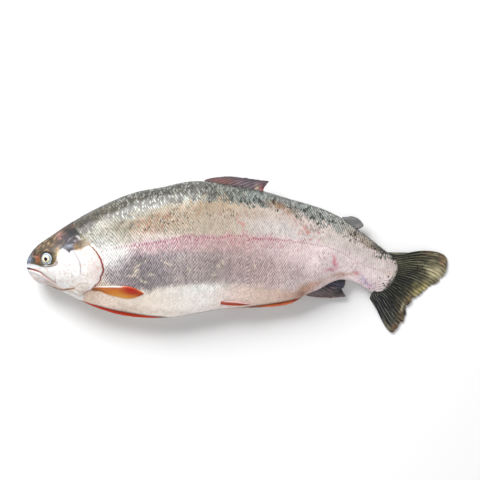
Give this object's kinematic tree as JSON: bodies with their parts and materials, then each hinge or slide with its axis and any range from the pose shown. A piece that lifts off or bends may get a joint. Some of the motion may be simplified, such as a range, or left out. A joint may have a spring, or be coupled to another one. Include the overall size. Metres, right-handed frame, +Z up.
{
  "type": "whole gutted ocean trout",
  "caption": "Whole gutted ocean trout lying on its flank, silver scaled skin with a pink band, spotted tail fin and orange flesh showing in the belly cut.",
  "frame": {"origin": "middle of the underside, on the surface that the fish lies on", "axes": "+X from the snout towards the tail, +Y from the belly towards the back, +Z up out of the left flank, which lies upwards"},
  "size_m": [0.6, 0.2228, 0.0801],
  "materials": {
    "skin": "wet, finely scaled, silver to pink-grey with a dark green-grey back",
    "flesh": "raw orange-red fish flesh, moist",
    "eye": "wet eyeball with a cream ring and a black pupil"
  },
  "bodies": {
    "root": {"trout": "skin", "belly_flesh": "flesh", "eye_left": "eye", "eye_right": "eye"}
  },
  "joints": []
}
